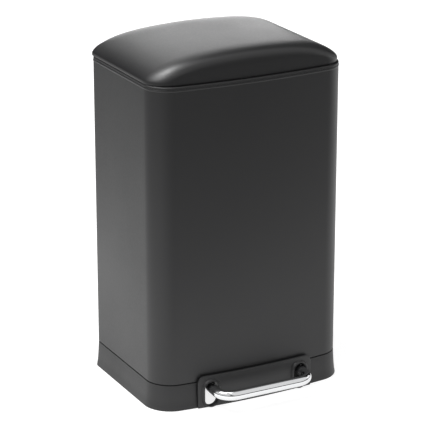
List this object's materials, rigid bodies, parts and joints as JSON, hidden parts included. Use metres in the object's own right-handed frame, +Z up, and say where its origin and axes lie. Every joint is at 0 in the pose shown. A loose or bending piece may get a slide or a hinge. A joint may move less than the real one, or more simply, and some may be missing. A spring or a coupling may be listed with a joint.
{
  "type": "pedal trash can",
  "caption": "Rectangular pedal trash can: painted steel sleeve on a moulded base, domed hinged lid opened by a chromed U-shaped foot bar, and a lift-out inner bucket.",
  "frame": {"origin": "on the floor, at the middle of the whole object's bounding box", "axes": "+Z up, -Y towards the front where the pedal is, +X to the right seen from the front"},
  "size_m": [0.364, 0.3297, 0.6073],
  "materials": {
    "body_paint": "matt black powder coat on sheet steel",
    "lid_paint": "satin black paint on pressed steel",
    "base_plastic": "moulded black plastic with a fine grain",
    "plate_plastic": "moulded black plastic, satin",
    "rim_plastic": "moulded black plastic, satin",
    "housing_plastic": "moulded black plastic with a fine grain",
    "liner_plastic": "moulded black plastic, smooth",
    "bucket_plastic": "moulded dark grey plastic",
    "rubber": "soft black rubber",
    "zinc_steel": "bright zinc plating",
    "lever_steel": "pressed steel, zinc plated",
    "bar_chrome": "polished chrome tube"
  },
  "bodies": {
    "root": {"base_skirt": "base_plastic", "base_deck": "base_plastic", "foot_front_left": "rubber", "foot_front_right": "rubber", "foot_rear_left": "rubber", "foot_rear_right": "rubber", "pedal_plate": "plate_plastic", "outer_body": "body_paint", "top_rim": "rim_plastic", "rod_channel": "zinc_steel", "axle_bracket_left": "zinc_steel", "axle_bracket_right": "zinc_steel", "pedal_axle": "zinc_steel", "hinge_housing": "housing_plastic", "hinge_pin": "zinc_steel", "hinge_screw_1": "zinc_steel", "hinge_screw_2": "zinc_steel", "hinge_screw_3": "zinc_steel", "hinge_screw_4": "zinc_steel"},
    "pedal": {"pedal_bar": "bar_chrome", "pedal_lever": "lever_steel"},
    "push_rod": {"push_rod": "zinc_steel"},
    "lid": {"lid_shell": "lid_paint", "lid_liner": "liner_plastic", "lid_hinge_arm": "lever_steel", "lid_crank": "lever_steel", "crank_pin": "zinc_steel", "lid_bumper_left": "rubber", "lid_bumper_right": "rubber"},
    "bucket": {"bucket": "bucket_plastic"},
    "bail": {"bail_wire": "zinc_steel", "bail_grip": "bucket_plastic"}
  },
  "joints": [
    {"name": "lid_hinge", "type": "hinge", "parent": "root", "child": "lid", "pos_m": [0, 0.1549, 0.549], "axis": [-1, 0, 0], "range_deg": [0, 75]},
    {"name": "pedal_pivot", "type": "hinge", "parent": "root", "child": "pedal", "pos_m": [0, -0.0354, 0.038], "axis": [1, 0, 0], "range_deg": [0, 9.9]},
    {"name": "rod_slide", "type": "slide", "parent": "root", "child": "push_rod", "axis": [0, 0, 1], "range_m": [0, 0.02932]},
    {"name": "bucket_lift", "type": "slide", "parent": "root", "child": "bucket", "axis": [0, 0, 1], "range_m": [0, 0.015]},
    {"name": "bail_swing", "type": "hinge", "parent": "bucket", "child": "bail", "pos_m": [0, 0.0163, 0.5383], "axis": [1, 0, 0], "range_deg": [0, 7]}
  ],
  "couplings": [
    {"joint": "pedal_pivot", "follows": "lid_hinge", "ratio": 0.1312},
    {"joint": "rod_slide", "follows": "lid_hinge", "m_per_rad": 0.022323}
  ]
}
